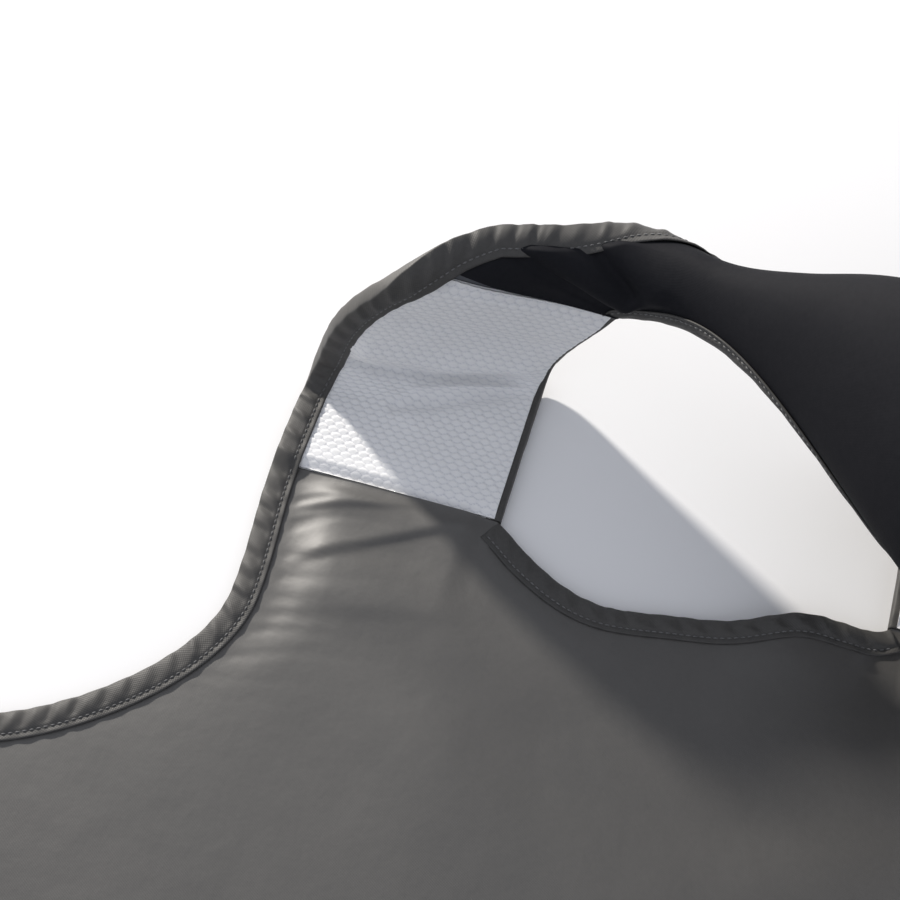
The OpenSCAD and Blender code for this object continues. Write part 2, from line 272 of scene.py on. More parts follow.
def back_inner(k):
    """The neckline of the back, then the right shoulder seam."""
    step = np.asarray(k, float) * (NECK_STEPS + SEAM_STEPS)
    x = np.clip(step / NECK_STEPS, 0, 1)
    half = np.where(x < 0.5, 2 * x, 2 - 2 * x)
    top = PAD + NECK_BACK
    neck = bez3(NECK_CORNER, NECK_CORNER + np.array([20, 7]), (-NECK / 2, top), (0.0, top), half)
    u = neck[..., 0] * np.where(x < 0.5, 1, -1)
    v = neck[..., 1] + ease((x - 0.9) / 0.1) * (RIGHT_SEAM - PAD)
    j = np.clip(step - NECK_STEPS, 0, SEAM_STEPS)
    seam = np.stack([mix(-NECK_CORNER[0], SHOULDER, j / SEAM_STEPS), 0 * j + RIGHT_SEAM], -1)
    return np.where((j <= 0)[..., None], np.stack([u, v], -1), seam)


def arm_points(n=60):
    """Left edge of the front from the shoulder seam to the hem."""
    k = np.linspace(0, 1, n)
    strap_u = -SHOULDER + STRAP_IN
    strap_end = (strap_u, -78)
    side_top = (-HALF_W + SIDE_R, -ARM_DEPTH + 4)
    strap = bez3((-SHOULDER, -SEAM), (-SHOULDER, -26), (strap_u, -52), strap_end, k[::3])
    arm = bez3(strap_end, (strap_u, -120), (-HALF_W + 68, -ARM_DEPTH + 14), side_top, k)
    side = bez(side_top, (-HALF_W, -ARM_DEPTH), (-HALF_W, -ARM_DEPTH - SIDE_R), k[::3])
    a = np.radians(np.linspace(0, 90, 20))
    hem = np.stack([-HALF_W + CORNER - CORNER * np.cos(a), -FRONT_LEN + CORNER - CORNER * np.sin(a)], -1)
    return np.concatenate([strap[:-1], arm, side[1:], hem])


ARM = arm_points()
ARM_CURVE = ARM[ARM[:, 1] > -FRONT_LEN + CORNER + 1]
ARM_CURVE = ARM_CURVE[np.argsort(ARM_CURVE[:, 1], kind="stable")]


def edge_half(v):
    """Half width of the front at a height of the pattern."""
    v = np.asarray(v, float)
    side = -np.interp(v, ARM_CURVE[:, 1], ARM_CURVE[:, 0], left=-HALF_W, right=-SHOULDER)
    low = np.clip(-(v + FRONT_LEN - CORNER), 0, CORNER)
    corner = HALF_W - CORNER + np.sqrt(np.maximum(CORNER ** 2 - low ** 2, 0))
    return np.where(v < -FRONT_LEN + CORNER, corner, side)


def neck_v(u):
    """The front neckline: it sags at the left and is pushed up at the right, under the roll."""
    even = -NECK_TOP - (NECK_DROP - NECK_TOP) * (1 - np.minimum(np.abs(u) / NECK, 1) ** 3)
    pull = 10 * bell(u - 58, 28) - 9 * bell(u + 45, 38)
    return np.minimum(even + pull * ease((NECK - np.abs(u)) / 20), -1.2)


def neck_rise(p):
    """How far the front stands off the table along the pushed-up part of its neckline."""
    u, v = p[..., 0], p[..., 1]
    away = np.maximum(neck_v(u) - v, 0)
    return 9 * bell(u - 60, 30) * bell(away, 34) * ease((NECK - u) / 18) * (v < 0)


def top_v(u):
    """Upper edge of the front: the shoulder seams and the neckline between them."""
    return np.where(np.abs(u) >= NECK, -SEAM, neck_v(u))


def run_length(path):
    return np.concatenate([[0], np.cumsum(np.linalg.norm(np.diff(path, axis=0), axis=1))])


def along(path, d, x):
    """Points of a path at the lengths x, where d is its run length."""
    return np.stack([np.interp(x, d, path[:, i]) for i in range(path.shape[1])], -1)


def resample(path, step):
    d = run_length(path)
    x = np.linspace(0, d[-1], max(2, int(round(d[-1] / step)) + 1))
    return along(path, d, x), x


def inset(path, side, width=BIND_W, smooth=13):
    """A path moved sideways, with its direction smoothed over a few points."""
    d = unit(np.gradient(path, axis=0))
    kernel = np.ones(smooth) / smooth
    d = [np.convolve(np.pad(d[:, i], smooth // 2, mode="edge"), kernel, "valid") for i in (0, 1)]
    d = unit(np.stack(d, -1))
    return path + np.stack([-d[:, 1], d[:, 0]], -1) * side * width


# Smooth repeatable noise
def hashed(i, seed):
    x = np.sin(i * 127.1 + seed * 311.7) * 43758.5453
    return x - np.floor(x)


def noise1(x, seed):
    i = np.floor(x)
    return mix(hashed(i, seed), hashed(i + 1, seed), ease(x - i)) * 2 - 1


def noise2(x, y, seed):
    i, j = np.floor(x), np.floor(y)
    f, g = ease(x - i), ease(y - j)

    def corner(a, b):
        return hashed(a + b * 57.0, seed)

    low = mix(corner(i, j), corner(i + 1, j), f)
    high = mix(corner(i, j + 1), corner(i + 1, j + 1), f)
    return mix(low, high, g) * 2 - 1


# Mesh builders
def make(name, co, faces, uv=None):
    mesh = bpy.data.meshes.new(name)
    co = np.asarray(co, np.float32) * MM
    faces = np.asarray(faces, np.int32)
    mesh.vertices.add(len(co))
    mesh.vertices.foreach_set("co", co.ravel())
    mesh.loops.add(faces.size)
    mesh.loops.foreach_set("vertex_index", faces.ravel())
    mesh.polygons.add(len(faces))
    mesh.polygons.foreach_set("loop_start", np.arange(len(faces), dtype=np.int32) * faces.shape[1])
    mesh.polygons.foreach_set("use_smooth", np.ones(len(faces), bool))
    if uv is not None:
        layer = mesh.uv_layers.new(name="flat")
        layer.data.foreach_set("uv", (np.asarray(uv, np.float32)[faces.ravel()] * MM).ravel())
    mesh.update(calc_edges=True)
    mesh.validate()
    obj = bpy.data.objects.new(name, mesh)
    bpy.context.scene.collection.objects.link(obj)
    return obj


def grid_faces(n, m):
    a = (np.arange(n - 1)[:, None] * m + np.arange(m - 1)[None, :]).ravel()
    return np.stack([a, a + m, a + m + 1, a + 1], -1)


def rim_loop(n, m):
    """Indices around the edge of a grid."""
    last_row = (n - 1) * m + np.arange(1, m)
    last_col = np.arange(n - 2, -1, -1) * m + m - 1
    return np.concatenate([np.arange(n) * m, last_row, last_col, np.arange(m - 2, 0, -1)])


def shell(name, grid, heights, raise_top=0.0, raise_low=None, flip=False):
    """A closed sheet over a grid of flat points between two heights, with its faces raised by fields."""
    n, m = grid.shape[:2]
    low, high = heights
    base, nrm = place(grid), facing(grid)
    raise_top = np.broadcast_to(np.asarray(raise_top, float), (n, m))
    raise_low = raise_top if raise_low is None else np.broadcast_to(np.asarray(raise_low, float), (n, m))
    top = (base + nrm * (high + raise_top)[..., None]).reshape(-1, 3)
    bot = (base + nrm * (low + raise_low)[..., None]).reshape(-1, 3)
    half = n * m
    loop = rim_loop(n, m)
    nxt = np.roll(loop, -1)
    wall = np.stack([loop, nxt, nxt + half, loop + half], -1)
    f = grid_faces(n, m)
    if flip:
        f = f[:, ::-1]
    else:
        wall = wall[:, ::-1]
    faces = np.concatenate([f + half, f[:, ::-1], wall])
    uv = np.concatenate([grid.reshape(-1, 2)] * 2)
    return make(name, np.concatenate([bot, top]), faces, uv)


def ring(inner, outer, k, rows):
    """A grid of flat points between two edges."""
    return mix(inner(k)[:, None], outer(k)[:, None], np.linspace(0, 1, rows)[None, :, None])


# Bindings and stitching
TAPE_STEP = 1.1
TAPE_COLS = 17
stitches = {FRONT: [], BACK: []}


def pucker(s, w, seed, size):
    """Gathers of a bound edge: s along it and w across it from 0 at the inner line to 1 at the edge."""
    drift = 3.0 * noise1(s / 31.0, seed) + 1.5 * noise1(s / 12.0, seed + 1)
    x = (s + drift) / 13.0 + 0.55 * (w - 0.2)
    amp = 0.45 + 0.55 * (0.5 + 0.5 * noise1(s / 22.0, seed + 2))
    small = 0.45 * np.sin(2 * np.pi * (x * 2.1 + 0.3)) * (0.5 + 0.5 * noise1(s / 17.0, seed + 3))
    reach = ease((w - 0.24) / 0.3) * (1 - 0.35 * ease((w - 0.7) / 0.3))
    flap = 0.35 * ease((0.2 - w) / 0.2)
    return size * amp * (np.sin(2 * np.pi * x) + small) * (reach + flap)


def stitch_row(points, normals, body, pitch=3.4, length=2.5, radius=0.34):
    """Thread dashes along a line of points in space."""
    d = run_length(points)
    for c in np.arange(pitch, d[-1] - pitch, pitch):
        j = int(np.searchsorted(d, c))
        if d[j] - d[j - 1] > pitch:
            continue
        start = along(points, d, c - length / 2)
        end = along(points, d, c + length / 2)
        stitches[body].append((start, end, unit(along(normals, d, c)), radius))


def stitch_object(name, items, sides=6, rings=5):
    """All dashes of one body as small rounded tubes that dip in at their ends."""
    co, faces = [], []
    for a, b, nrm, radius in items:
        side = unit(np.cross(b - a, nrm))
        base = len(co)
        for k in np.linspace(0, 1, rings):
            x = 2 * k - 1
            w = radius * math.sqrt(max(1 - abs(x) ** 2.6, 0.0)) + 0.03
            mid = mix(a, b, k) + nrm * (0.14 - 0.3 * x * x)
            for g in np.arange(sides) * 2 * math.pi / sides:
                co.append(mid + side * math.cos(g) * w + nrm * math.sin(g) * w)
        for i in range(rings - 1):
            for j in range(sides):
                p = base + i * sides + j
                q = base + i * sides + (j + 1) % sides
                faces.append((p, p + sides, q + sides, q))
    return make(name, np.array(co), faces)


def close_ends(obj, n, m):
    """Caps both ends of a tube of n rings with m points each and turns its faces outwards."""
    bm = bmesh.new()
    bm.from_mesh(obj.data)
    bm.verts.ensure_lookup_table()
    for first in (0, (n - 1) * m):
        bm.faces.new([bm.verts[first + i] for i in range(m)])
    bmesh.ops.recalc_face_normals(bm, faces=bm.faces)
    bm.to_mesh(obj.data)
    bm.free()
    obj.data.update()


def tape(name, path, side, level, seed, size=0.55, puff=0.7, width=BIND_W, seam_at=3.2, rise=None):
    """A folded binding, gathered from its stitching to the edge. level gives the layers' height."""
    path, s = resample(path, TAPE_STEP)
    inner = inset(path, side, width)
    high = level(path)
    n = len(s)

    def lay(share):
        pts = mix(inner[:, None], path[:, None], share[None, :, None])
        base, nrm = place(pts), facing(pts)
        if rise is not None:
            base = base + nrm * rise(pts)[..., None]
        return base, nrm

    w = np.linspace(0, 1, TAPE_COLS)
    seam = seam_at / width
    base, nrm = lay(w)
    ww = np.broadcast_to(w, (n, TAPE_COLS))
    ss = np.broadcast_to(s[:, None], (n, TAPE_COLS))
    swell = puff * np.sin(np.pi * np.clip((ww - seam) / (1 - seam), 0, 1)) ** 0.8
    dent = -0.4 * bell((ww - seam) * width, 0.8)
    ends = ease(s / 4)[:, None] * ease((s[-1] - s) / 4)[:, None]
    off_floor = ease(path[:, 1:] / 12)
    top_d = swell + pucker(ss, ww, seed, size) * ends + dent
    low_d = (0.5 * swell + pucker(ss, ww, seed + 9, size * 0.6) * ends + dent) * off_floor
    top = base + nrm * (high[:, None] + LIFT + top_d)[..., None]
    bot = base - nrm * (LIFT + low_d)[..., None]

    out = unit(base[:, -1] - base[:, -2])
    edge = []
    for a in np.radians(np.linspace(90, -90, 11))[1:-1]:
        lift = high / 2 + (high / 2 + LIFT) * math.sin(a)
        lift = lift + mix(top_d[:, -1], -low_d[:, -1], (1 - math.sin(a)) / 2)
        reach = LIFT * math.cos(a) ** 0.7 * (1 + 0.15 * noise1(s / 9.0, seed + 4))
        edge.append(base[:, -1] + nrm[:, -1] * lift[:, None] + out * reach[:, None])
    edge = np.stack(edge, 1)

    w_in = w[::4]
    base_in, nrm_in = lay(w_in)
    over = base_in + nrm_in * (high[:, None] + TAPE_GAP)[..., None]
    under = base_in - nrm_in * TAPE_GAP
    loop = np.concatenate([top, edge, bot[:, ::-1], under, over[:, ::-1]], 1)
    m = loop.shape[1]
    a = np.arange(n - 1)[:, None] * m + np.arange(m)[None, :]
    b = np.arange(n - 1)[:, None] * m + (np.arange(m)[None, :] + 1) % m
    faces = np.stack([a, a + m, b + m, b], -1).reshape(-1, 4)
    across = np.concatenate([
        w * width, np.full(edge.shape[1], width + 2), width + 4 + (1 - w[::-1]) * width,
        w_in * width, w_in[::-1] * width])
    uv = np.stack([np.broadcast_to(s[:, None], (n, m)), np.broadcast_to(across, (n, m))], -1)
    obj = make(name, loop.reshape(-1, 3), faces, uv.reshape(-1, 2))
    close_ends(obj, n, m)

    i = int(round(seam * (TAPE_COLS - 1)))
    on_back = path[:, 1] > 0
    for body, keep in ((FRONT, ~on_back), (BACK, on_back)):
        if keep.sum() > 8:
            stitch_row((top[:, i] + nrm[:, i] * 0.12)[keep], nrm[keep, i], body)
            if body == BACK:
                stitch_row((bot[:, i] - nrm[:, i] * 0.12)[keep], -nrm[keep, i], body)
    return obj


# Materials
def nodes_of(name):
    mat = bpy.data.materials.new(name)
    mat.use_nodes = True
    tree = mat.node_tree
    tree.nodes.clear()
    out = tree.nodes.new("ShaderNodeOutputMaterial")
    bsdf = tree.nodes.new("ShaderNodeBsdfPrincipled")
    tree.links.new(bsdf.outputs["BSDF"], out.inputs["Surface"])
    return mat, tree, bsdf


def set_inputs(node, values):
    for key, value in values.items():
        node.inputs[key].default_value = value


def object_space(tree):
    return tree.nodes.new("ShaderNodeTexCoord").outputs["Object"]


def noise_node(tree, vec, scale, detail=3.0, rough=0.55):
    node = tree.nodes.new("ShaderNodeTexNoise")
    set_inputs(node, {"Scale": scale, "Detail": detail, "Roughness": rough})
    tree.links.new(vec, node.inputs["Vector"])
    return node.outputs["Fac"]


def ramp(tree, fac, stops):
    node = tree.nodes.new("ShaderNodeValToRGB")
    elements = node.color_ramp.elements
    while len(elements) < len(stops):
        elements.new(0.5)
    for element, (position, colour) in zip(elements, stops):
        element.position = position
        element.color = (*colour, 1.0)
    tree.links.new(fac, node.inputs["Fac"])
    return node.outputs["Color"]


def scale_range(tree, fac, low, high):
    node = tree.nodes.new("ShaderNodeMapRange")
    set_inputs(node, {"To Min": low, "To Max": high})
    tree.links.new(fac, node.inputs["Value"])
    return node.outputs["Result"]


def math_node(tree, operation, *terms):
    node = tree.nodes.new("ShaderNodeMath")
    node.operation = operation
    for socket, term in zip(node.inputs, terms):
        if isinstance(term, (int, float)):
            socket.default_value = term
        else:
            tree.links.new(term, socket)
    return node.outputs[0]


def weighted(tree, a, share, b):
    """A share of a and the rest of b."""
    part = math_node(tree, "MULTIPLY", a, share)
    rest = math_node(tree, "MULTIPLY", b, 1 - share)
    return math_node(tree, "ADD", part, rest)


def bump(tree, height, strength, distance, under=None):
    node = tree.nodes.new("ShaderNodeBump")
    set_inputs(node, {"Strength": strength, "Distance": distance})
    tree.links.new(height, node.inputs["Height"])
    if under is not None:
        tree.links.new(under, node.inputs["Normal"])
    return node.outputs["Normal"]


def weave(tree, uv, period):
    """Plain weave height from the flat pattern: over-under threads in both directions."""
    sep = tree.nodes.new("ShaderNodeSeparateXYZ")
    tree.links.new(uv, sep.inputs[0])
    k = math.pi / period
    a = math_node(tree, "SINE", math_node(tree, "MULTIPLY", sep.outputs["X"], k))
    b = math_node(tree, "SINE", math_node(tree, "MULTIPLY", sep.outputs["Y"], k))
    return math_node(tree, "MULTIPLY", a, b)


def cloth(name, dark, light, rough, period=0.00042, weave_bump=0.25, crumple=0.25, sheen=0.15, spec=0.5):
    mat, tree, bsdf = nodes_of(name)
    uv = tree.nodes.new("ShaderNodeUVMap")
    uv.uv_map = "flat"
    obj = object_space(tree)
    broad = noise_node(tree, obj, 9.0, 4.0)
    blotch = weighted(tree, broad, 0.65, noise_node(tree, obj, 420.0, 2.0))
    tree.links.new(ramp(tree, blotch, [(0.3, dark), (0.7, light)]), bsdf.inputs["Base Color"])
    tree.links.new(scale_range(tree, broad, rough - 0.06, rough + 0.06), bsdf.inputs["Roughness"])
    crumpled = bump(tree, noise_node(tree, obj, 38.0, 4.0, 0.5), crumple, 0.002)
    woven = bump(tree, weave(tree, uv.outputs["UV"], period), weave_bump, 0.00012, crumpled)
    tree.links.new(woven, bsdf.inputs["Normal"])
    set_inputs(bsdf, {"Sheen Weight": sheen, "Sheen Roughness": 0.4, "Specular IOR Level": spec})
    return mat


def thread():
    mat, tree, bsdf = nodes_of("thread")
    grain = noise_node(tree, object_space(tree), 900.0, 2.0)
    colour = ramp(tree, grain, [(0.3, (0.09, 0.09, 0.092)), (0.7, (0.16, 0.16, 0.158))])
    tree.links.new(colour, bsdf.inputs["Base Color"])
    set_inputs(bsdf, {"Roughness": 0.6, "Sheen Weight": 0.3})
    return mat


def spacer_mesh():
    mat, tree, bsdf = nodes_of("spacer_mesh")
    obj = object_space(tree)
    cell = tree.nodes.new("ShaderNodeAttribute")
    cell.attribute_name = "cell"
    # The cell attribute carries painted shade in the slits and along each cell's lower edge, and a painted
    # highlight on each cell's top; the noise adds random tone
    shade = weighted(tree, cell.outputs["Fac"], 0.75, noise_node(tree, obj, 14.0, 3.0))
    stops = [(0.05, (0.58, 0.59, 0.62)), (0.45, (0.79, 0.795, 0.81)), (0.9, (0.89, 0.89, 0.885))]
    tree.links.new(ramp(tree, shade, stops), bsdf.inputs["Base Color"])
    set_inputs(bsdf, {"Roughness": 0.75, "Sheen Weight": 0.25, "Subsurface Weight": 0.08,
                      "Subsurface Radius": (0.002, 0.002, 0.002)})
    tree.links.new(bump(tree, noise_node(tree, obj, 1500.0, 2.0), 0.35, 0.0003), bsdf.inputs["Normal"])
    return mat


def foam():
    mat, tree, bsdf = nodes_of("foam")
    pores = noise_node(tree, object_space(tree), 900.0, 3.0)
    colour = ramp(tree, pores, [(0.35, (0.55, 0.54, 0.5)), (0.65, (0.8, 0.79, 0.74))])
    tree.links.new(colour, bsdf.inputs["Base Color"])
    bsdf.inputs["Roughness"].default_value = 0.9
    tree.links.new(bump(tree, pores, 0.6, 0.0005), bsdf.inputs["Normal"])
    return mat


NYLON = cloth("nylon", (0.050, 0.048, 0.044), (0.066, 0.062, 0.057), 0.5, sheen=0.02, spec=1.0)
# Painted shade: a darker, duller copy of the same nylon, used on the back lining so the roll stays dark
NYLON_PAINTED_SHADE = cloth("nylon_painted_shade", (0.012, 0.0125, 0.015), (0.018, 0.018, 0.021), 0.68, sheen=0.0, spec=0.05)
OUTER = cloth("nylon_outer", (0.034, 0.034, 0.036), (0.048, 0.047, 0.047), 0.55, sheen=0.04)
TAPE = cloth("binding_tape", (0.040, 0.039, 0.037), (0.066, 0.063, 0.059), 0.57, period=0.0007,
             weave_bump=0.35, crumple=0.4, sheen=0.02, spec=0.5)
VINYL = cloth("lead_vinyl", (0.10, 0.105, 0.115), (0.13, 0.135, 0.145), 0.6, weave_bump=0.05)
THREAD = thread()
MESH = spacer_mesh()
FOAM = foam()


def dress(obj, mat, body, slot, *nodes):
    obj.data.materials.clear()
    obj.data.materials.append(mat)
    if body is not None:
        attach(obj, body)
    if nodes:
        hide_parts(*nodes)
    return obj


# Creases: points in the flat pattern, width and height
FRONT_CREASES = [
    ([(-213, -26), (-180, -15), (-145, -5)], 1.7, 1.5),
    ([(-200, -54), (-168, -36), (-140, -20), (-107, -3)], 2.3, 2.0),
    ([(-196, -75), (-146, -68), (-108, -61)], 7.0, 1.6),
]
PAD_CREASES = [
    ([(217, 83), (193, 76), (172, 79), (144, 84), (116, 88)], 4.5, -5.0),
    ([(206, 97), (165, 96), (118, 103)], 10.0, 5.0),
    ([(176, 50), (154, 60), (133, 70), (115, 80)], 4.0, -3.6),
    ([(168, 66), (140, 77), (114, 84)], 5.0, 3.6),
    ([(200, 62), (184, 60), (166, 46)], 8.0, 1.4),
    ([(190, 130), (150, 128), (112, 128)], 6.0, -1.8),
]
BACK_CREASES = [
    ([(-170, 189), (-145, 185), (-121, 179), (-96, 170)], 3.0, -3.5),
    ([(-166, 194), (-140, 191), (-114, 186), (-88, 177)], 6.0, 5.0),
    ([(-124, 203), (-112, 197), (-103, 191), (-90, 184)], 3.0, -3.0),
    ([(-116, 208), (-100, 199), (-80, 190)], 7.0, 4.0),
]


def line_fold(u, v, pts, width, height):
    """A soft ridge or valley along a line of flat points."""
    pts = np.asarray(pts, float)
    best = np.full(np.shape(u), 1e9)
    for a, b in zip(pts[:-1], pts[1:]):
        d = b - a
        k = np.clip(((u - a[0]) * d[0] + (v - a[1]) * d[1]) / (d @ d), 0, 1)
        best = np.minimum(best, np.hypot(u - a[0] - d[0] * k, v - a[1] - d[1] * k))
    return height * bell(best, width)


def line_step(u, v, pts, width, height):
    """A crease that steps up towards the shoulder across a line of flat points, then sinks back."""
    x, y = np.asarray(pts, float).T
    fade = ease((u - x[0] + 12) / 26) * ease((x[-1] + 12 - u) / 26)
    past = v - np.interp(u, x, y)
    return height * fade * (0.5 + 0.5 * np.tanh(past / width)) * np.exp(-np.maximum(past, 0) / 20)


# Front panel
EDGE_IN = 2.0
FRONT_TOP = FRONT_LINING[1]


def front_wave(u, v):
    """Two broad swells below the shoulders."""
    a = np.abs(u)
    near = bell(v + 78 - 0.26 * (a - 90), 26) * bell(a - 150, 75)
    low = 0.7 * bell(v + 150 - 0.5 * (a - 60), 34) * bell(a - 110, 80)
    clear = ease((edge_half(v) - a - 18) / 30) * ease((top_v(u) - v - 18) / 30)
    return 4 * (near + low) * clear


def edge_gathers(u, v):
    """Short puckers that run in from the armhole bindings and die out."""
    inside = edge_half(v) - np.abs(u) - BIND_W
    wave = np.sin((v - 0.25 * inside) * 2 * np.pi / 13 + 3.0 * noise2(u / 60, v / 24, 71))
    reach = ease(inside / 5) * np.exp(-np.maximum(inside, 0) / 24)
    return -0.6 * ease(wave) * reach * ease((v + 150) / 60) * ease((-4 - v) / 8)


def front_detail(u, v):
    a = np.abs(u)
    top_clear = top_v(u) - v - np.where(a < NECK, FRONT_BIND, EDGE_IN)
    edge = ease((edge_half(v) - a - BIND_W) / 26) * ease(top_clear / 10)
    creases = sum(line_step(u, v, *crease) for crease in FRONT_CREASES)
    broad = 1.6 * noise2(u / 120, v / 95, 3) + 0.8 * noise2(u / 47, v / 60, 4)
    strap = ease((a - NECK - 4) / 14) * ease((SHOULDER - a - 16) / 34)
    rise = 2.8 * ease((v + 66) / 64) * strap
    return (creases + broad + 0.5) * edge + rise + edge_gathers(u, v)


def front_grid(cols, rows, top_rows=24):
    """Flat points in columns that follow the sides, then close up to the seams and the neckline."""
    v_low = np.linspace(-FRONT_LEN + 0.5, -NECK_DROP - FRONT_BIND, rows)
    k = np.linspace(0, 1, top_rows + 1)[1:]
    grid = []
    for c in np.linspace(-1, 1, cols):
        u_low = c * (edge_half(v_low) - EDGE_IN)
        u_top = c * (SHOULDER - EDGE_IN)
        v_top = top_v(u_top) - (0 if abs(u_top) >= NECK else 0.2)
        low = np.stack([u_low, v_low], -1)
        top = np.stack([mix(u_low[-1], u_top, k), mix(v_low[-1], v_top, k)], -1)
        grid.append(np.concatenate([low, top]))
    return np.array(grid)


def front_level(path):
    return np.full(len(path), FRONT_TOP)


def front_panel():
    g = front_grid(281, 240)
    u, v = g[..., 0], g[..., 1]
    lift = np.maximum(front_wave(u, v) + front_detail(u, v), -0.05) + neck_rise(g)
    lining = shell("front_lining_cloth", g, FRONT_LINING, lift)
    dress(lining, NYLON, FRONT, "nylon", "front_lining")
    g = front_grid(141, 120)
    layers = [
        ("front_inner_ply_sheet", INNER_PLY, VINYL, "lead_vinyl", "front_inner_ply", "front_outer_ply_sheet"),
        ("front_outer_ply_sheet", OUTER_PLY, VINYL, "lead_vinyl", "front_outer_ply", "front_cover_cloth"),
        ("front_cover_cloth", COVER, OUTER, "nylon", "front_cover", "floor"),
    ]
    for name, heights, mat, slot, node, under in layers:
        piece = shell(name, g, heights, neck_rise(g))
        dress(piece, mat, FRONT, slot, node)


def front_bindings():
    u = np.linspace(-NECK, NECK, 200)
    neck = np.stack([u, neck_v(u)], -1)
    neck_tape = tape("front_neck_tape", neck, -1, front_level, 37, 0.95, 0.8, FRONT_BIND, rise=neck_rise)
    dress(neck_tape, TAPE, FRONT, "binding_tape", "front_neck_binding")
    hem_end = HALF_W - CORNER - 1
    hem = np.array([[-hem_end, -FRONT_LEN], [hem_end, -FRONT_LEN]])
    hem_tape = tape("hem_tape", hem, 1, front_level, 41, 0.6)
    dress(hem_tape, TAPE, FRONT, "binding_tape", "hem_binding")


# Shoulders
PAD_TOP = MESH_PAD[1]


def honeycomb(u, v, cell_u=6.0, cell_v=3.3):
    """Height of the knit, 0 in the slits to 1 on the cells, and how far up its cell each point is."""
    u = u + 0.5 * noise2(u / 9, v / 7, 51)
    v = v + 0.35 * noise2(u / 8, v / 9, 52)
    a, b = u / cell_u, v / cell_v
    nearest = np.full(np.shape(u), 9.0)
    second = np.full(np.shape(u), 9.0)
    up = np.zeros(np.shape(u))
    for dj in (-1, 0, 1, 2):
        row = np.floor(b) + dj
        shift = 0.5 * np.mod(row, 2)
        for di in (0, 1):
            x = a - (np.floor(a - shift) + di + shift)
            y = b - row
            d = np.hypot(x, y * 0.8)
            second = np.where(d < nearest, nearest, np.minimum(second, d))
            up = np.where(d < nearest, y, up)
            nearest = np.minimum(nearest, d)
    return ease((second - nearest) / 0.4), up


def pad_wrinkles(u, v):
    """Creases of the mesh where the strap turns up, bunched towards the neck."""
    a = np.abs(u)
    d = sum(line_fold(a, v, *crease) for crease in PAD_CREASES)
    d = d + 0.9 * noise2(a / 26, v / 19, 61)
    d = d * (ease((SHOULDER - a - 8) / 14) * ease((v - 4) / 14) * ease((PAD - v - 4) / 14))
    inner = -left_inner((np.clip(v, SEAM, PAD) - SEAM) / (PAD - SEAM))[..., 0]
    d = np.where(d < 0, d * ease((a - inner - NECK_BIND) / 9), d)
    return d + 4.0 * np.exp(-((a - 107) / 9) ** 2 - ((v - 96) / 8) ** 2)


def shoulder(side, inner, outer, sign):
    flip = sign < 0
    k = np.linspace(0.003, 0.997, 290)
    neck_side = inset(inner(k), sign, 2.5)
    arm_side = inset(outer(k), -sign, 6.0)
    g = mix(neck_side[:, None], arm_side[:, None], np.linspace(0, 1, 230)[None, :, None])
    u, v = g[..., 0], g[..., 1]
    comb, up = honeycomb(u, v)
    wrinkles = pad_wrinkles(u, v)
    sewn = -2.6 * (1 - ease(v / 8)) - 3.2 * (1 - ease((1 - k[:, None]) * PAD / 9))
    relief = 0.35 + 0.65 * ease((v - 3) / 16)
    top = relief * (0.3 * (comb - 1) + 0.5 * up * comb) + wrinkles + sewn
    sag = np.minimum(wrinkles, 0) + sewn * 0.8
    pad = shell(f"{side}_shoulder_mesh_cloth", g, (MESH_PAD[0], PAD_TOP + 0.2), top, sag, flip)
    # Painted shade and highlight: slits and the lower edge of each cell are darkened, the top of each cell is
    # lightened
    cell_shade_and_highlight = 0.8 - 0.8 * (1 - comb) * (0.2 + 0.8 * ease(-up / 0.25)) + 0.2 * comb * ease((up - 0.05) / 0.25)
    cell = pad.data.attributes.new("cell", "FLOAT", "POINT")
    cell.data.foreach_set("value", np.concatenate([cell_shade_and_highlight.ravel(), cell_shade_and_highlight.ravel()]).astype(np.float32))
    dress(pad, MESH, BACK, "spacer_mesh", f"{side}_shoulder_mesh")
    foam_pad = shell(f"{side}_shoulder_foam_pad", g[::2, ::2], FOAM_PAD, sag[::2, ::2], 0.0, flip)
    dress(foam_pad, FOAM, BACK, "foam", f"{side}_shoulder_foam")
    g = ring(inner, outer, np.linspace(0, 1, 120), 80)
    ply = shell(f"{side}_shoulder_ply_sheet", g, OUTER_PLY, flip=flip)
    dress(ply, VINYL, BACK, "lead_vinyl", f"{side}_shoulder_ply")
    cover = shell(f"{side}_shoulder_cover_cloth", g, COVER, flip=flip)
    dress(cover, OUTER, BACK, "nylon", f"{side}_shoulder_cover")


# Back flap
BACK_TOP = BACK_LINING[1]


def back_creases(u, v):
    """Pleats that run from the crest to the back of the neck, and soft folds along the roll."""
    d = sum(line_fold(u, v, *crease) for crease in BACK_CREASES)
    return d + 1.6 * noise2(u / 60, v / 75, 81) * ease((u + 110) / 60)


def back_flap(cols=261, rows=221):
    g = ring(back_inner, back_outer, np.linspace(0.0005, 1, cols), rows)
    run = np.linspace(0, 1, cols)[:, None]
    rim = np.linspace(0, 1, rows)[None, :]
    span = np.linalg.norm(g[:, -1] - g[:, 0], axis=1)[:, None]
    seam_off = ease(run / 0.02) * ease((1 - run) / 0.05)
    free = ease((rim * span - NECK_BIND) / 8) * ease(((1 - rim) * span - BIND_W) / 10) * seam_off
    soft = np.maximum(back_creases(g[..., 0], g[..., 1]), -1.2) * free
    tuck = 2.2 * bell(run, 0.012)
    lining = shell("back_lining_cloth", g, BACK_LINING, soft + 1.2 * free + tuck)
    # Painted shade: the back lining takes the darker, duller copy of the nylon, so the roll stays dark
    dress(lining, NYLON_PAINTED_SHADE, BACK, "nylon", "back_lining")
    ply = shell("back_ply_sheet", g[::2, ::2], OUTER_PLY)
    dress(ply, VINYL, BACK, "lead_vinyl", "back_ply")
    cover = shell("back_cover_cloth", g, COVER)
    dress(cover, OUTER, BACK, "nylon", "back_cover")


